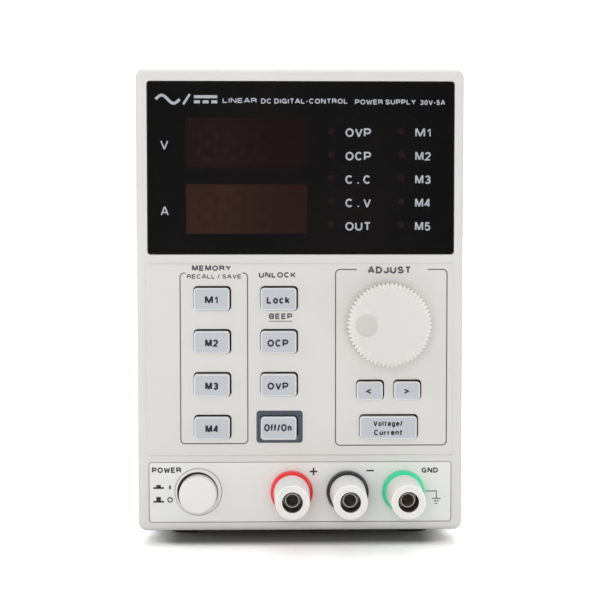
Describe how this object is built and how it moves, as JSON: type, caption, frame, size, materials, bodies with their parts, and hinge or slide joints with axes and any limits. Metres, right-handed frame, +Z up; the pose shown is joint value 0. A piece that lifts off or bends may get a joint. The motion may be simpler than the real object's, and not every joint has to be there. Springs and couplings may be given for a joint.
{
  "type": "bench power supply",
  "caption": "Upright bench power supply with a dark display window, key field, adjusting knob, push power button and binding posts on the front, fan and mains inlet behind.",
  "frame": {"origin": "on the surface that the feet stand on, under the middle of the overall width and depth", "axes": "+X to the right seen from the front, +Y from the front panel to the rear, +Z up"},
  "size_m": [0.1104, 0.26, 0.1614],
  "materials": {
    "bezel_plastic": "fine moulded texture, light warm grey ABS",
    "panel_plastic": "fine moulded texture, light warm grey",
    "lens_acrylic": "polished smoked acrylic",
    "display_plastic": "dark display block",
    "lamp_resin": "tinted lamp resin",
    "key_plastic": "satin light blue-grey caps",
    "knob_plastic": "satin off-white",
    "cap_plastic": "satin off-white",
    "red_plastic": "moulded red",
    "black_plastic": "moulded black",
    "green_plastic": "moulded mint green",
    "plated_brass": "turned, bright",
    "zinc_steel": "zinc plated",
    "case_paint": "textured powder coat, light grey",
    "circuit_board": "green solder mask",
    "switch_plastic": "black moulding",
    "rubber_feet": "moulded rubber",
    "fan_plastic": "black glass-filled moulding",
    "guard_chrome": "bright plated wire",
    "lamination_steel": "varnished laminations",
    "winding_copper": "varnished copper wire under tape",
    "sink_aluminium": "extruded",
    "capacitor_sleeve": "dark sleeve",
    "lead_insulation": "insulated wire",
    "ribbon_insulation": "grey flat cable"
  },
  "bodies": {
    "case": {"front_bezel": "bezel_plastic", "output_panel": "panel_plastic", "display_lens": "lens_acrylic", "voltage_display": "display_plastic", "current_display": "display_plastic", "indicator_leds": "lamp_resin", "front_board": "circuit_board", "key_switches": "switch_plastic", "encoder_body": "switch_plastic", "power_switch": "switch_plastic", "post_studs": "plated_brass", "post_nuts": "plated_brass", "chassis_base": "zinc_steel", "rear_panel": "case_paint", "top_cover": "case_paint", "feet": "rubber_feet", "foot_screws": "zinc_steel", "case_screws": "zinc_steel", "frame_screws": "zinc_steel", "fan_frame": "fan_plastic", "fan_guard": "guard_chrome", "fan_screws": "zinc_steel", "mains_inlet": "switch_plastic", "selector_housing": "switch_plastic", "transformer_core": "lamination_steel", "transformer_winding": "winding_copper", "board_shelf": "zinc_steel", "main_board": "circuit_board", "heat_sink": "sink_aluminium", "power_transistors": "switch_plastic", "filter_capacitors": "capacitor_sleeve", "inner_screws": "zinc_steel", "internal_leads": "lead_insulation", "ribbon_cable": "ribbon_insulation", "red_post_flange": "red_plastic", "black_post_flange": "black_plastic", "green_post_flange": "green_plastic"},
    "memory_key_1": {"memory_key_1": "key_plastic"},
    "memory_key_2": {"memory_key_2": "key_plastic"},
    "memory_key_3": {"memory_key_3": "key_plastic"},
    "memory_key_4": {"memory_key_4": "key_plastic"},
    "lock_key": {"lock_key": "key_plastic"},
    "over_current_key": {"over_current_key": "key_plastic"},
    "over_voltage_key": {"over_voltage_key": "key_plastic"},
    "output_key": {"output_key": "key_plastic"},
    "left_key": {"left_key": "key_plastic"},
    "right_key": {"right_key": "key_plastic"},
    "mode_key": {"mode_key": "key_plastic"},
    "knob": {"encoder_knob": "knob_plastic", "encoder_shaft": "zinc_steel"},
    "power_button": {"power_button": "knob_plastic"},
    "fan_rotor": {"fan_rotor": "fan_plastic"},
    "fuse_drawer": {"fuse_drawer": "switch_plastic"},
    "selector_slider": {"selector_slider": "red_plastic"},
    "red_post_insert": {"red_post_insert": "plated_brass"},
    "red_post_cap": {"red_post_cap": "cap_plastic"},
    "black_post_insert": {"black_post_insert": "plated_brass"},
    "black_post_cap": {"black_post_cap": "cap_plastic"},
    "green_post_insert": {"green_post_insert": "plated_brass"},
    "green_post_cap": {"green_post_cap": "cap_plastic"}
  },
  "joints": [
    {"name": "memory_key_1_press", "type": "slide", "parent": "case", "child": "memory_key_1", "axis": [0, 1, 0], "range_m": [0, 0.0006], "stiffness_N_per_m": 1000, "springref_m": -0.0008},
    {"name": "memory_key_2_press", "type": "slide", "parent": "case", "child": "memory_key_2", "axis": [0, 1, 0], "range_m": [0, 0.0006], "stiffness_N_per_m": 1000, "springref_m": -0.0008},
    {"name": "memory_key_3_press", "type": "slide", "parent": "case", "child": "memory_key_3", "axis": [0, 1, 0], "range_m": [0, 0.0006], "stiffness_N_per_m": 1000, "springref_m": -0.0008},
    {"name": "memory_key_4_press", "type": "slide", "parent": "case", "child": "memory_key_4", "axis": [0, 1, 0], "range_m": [0, 0.0006], "stiffness_N_per_m": 1000, "springref_m": -0.0008},
    {"name": "lock_key_press", "type": "slide", "parent": "case", "child": "lock_key", "axis": [0, 1, 0], "range_m": [0, 0.0006], "stiffness_N_per_m": 1000, "springref_m": -0.0008},
    {"name": "over_current_key_press", "type": "slide", "parent": "case", "child": "over_current_key", "axis": [0, 1, 0], "range_m": [0, 0.0006], "stiffness_N_per_m": 1000, "springref_m": -0.0008},
    {"name": "over_voltage_key_press", "type": "slide", "parent": "case", "child": "over_voltage_key", "axis": [0, 1, 0], "range_m": [0, 0.0006], "stiffness_N_per_m": 1000, "springref_m": -0.0008},
    {"name": "output_key_press", "type": "slide", "parent": "case", "child": "output_key", "axis": [0, 1, 0], "range_m": [0, 0.0006], "stiffness_N_per_m": 1000, "springref_m": -0.0008},
    {"name": "left_key_press", "type": "slide", "parent": "case", "child": "left_key", "axis": [0, 1, 0], "range_m": [0, 0.0006], "stiffness_N_per_m": 1000, "springref_m": -0.0008},
    {"name": "right_key_press", "type": "slide", "parent": "case", "child": "right_key", "axis": [0, 1, 0], "range_m": [0, 0.0006], "stiffness_N_per_m": 1000, "springref_m": -0.0008},
    {"name": "mode_key_press", "type": "slide", "parent": "case", "child": "mode_key", "axis": [0, 1, 0], "range_m": [0, 0.0006], "stiffness_N_per_m": 1000, "springref_m": -0.0008},
    {"name": "power_button_press", "type": "slide", "parent": "case", "child": "power_button", "axis": [0, 1, 0], "range_m": [0, 0.0026], "stiffness_N_per_m": 700, "springref_m": -0.003},
    {"name": "knob_turn", "type": "hinge", "parent": "case", "child": "knob", "pos_m": [0.0293, -0.1115, 0.07605], "axis": [0, 1, 0], "continuous": true},
    {"name": "red_cap_unscrew", "type": "hinge", "parent": "red_post_insert", "child": "red_post_cap", "pos_m": [-0.003, -0.1145, 0.0186], "axis": [0, -1, 0], "range_deg": [0, 1620.5]},
    {"name": "red_cap_advance", "type": "slide", "parent": "case", "child": "red_post_insert", "axis": [0, -1, 0], "range_m": [0, 0.0036]},
    {"name": "black_cap_unscrew", "type": "hinge", "parent": "black_post_insert", "child": "black_post_cap", "pos_m": [0.016, -0.1145, 0.0186], "axis": [0, -1, 0], "range_deg": [0, 1620.5]},
    {"name": "black_cap_advance", "type": "slide", "parent": "case", "child": "black_post_insert", "axis": [0, -1, 0], "range_m": [0, 0.0036]},
    {"name": "green_cap_unscrew", "type": "hinge", "parent": "green_post_insert", "child": "green_post_cap", "pos_m": [0.035, -0.1145, 0.0186], "axis": [0, -1, 0], "range_deg": [0, 1620.5]},
    {"name": "green_cap_advance", "type": "slide", "parent": "case", "child": "green_post_insert", "axis": [0, -1, 0], "range_m": [0, 0.0036]},
    {"name": "fan_turn", "type": "hinge", "parent": "case", "child": "fan_rotor", "pos_m": [0, 0.1135, 0.113], "axis": [0, 1, 0], "continuous": true},
    {"name": "fuse_drawer_pull", "type": "slide", "parent": "case", "child": "fuse_drawer", "axis": [0, 1, 0], "range_m": [0, 0.019]},
    {"name": "selector_slide", "type": "slide", "parent": "case", "child": "selector_slider", "axis": [1, 0, 0], "range_m": [0, 0.0044]}
  ],
  "couplings": [
    {"joint": "red_cap_unscrew", "follows": "red_cap_advance", "rad_per_m": 7854},
    {"joint": "black_cap_unscrew", "follows": "black_cap_advance", "rad_per_m": 7854},
    {"joint": "green_cap_unscrew", "follows": "green_cap_advance", "rad_per_m": 7854}
  ]
}
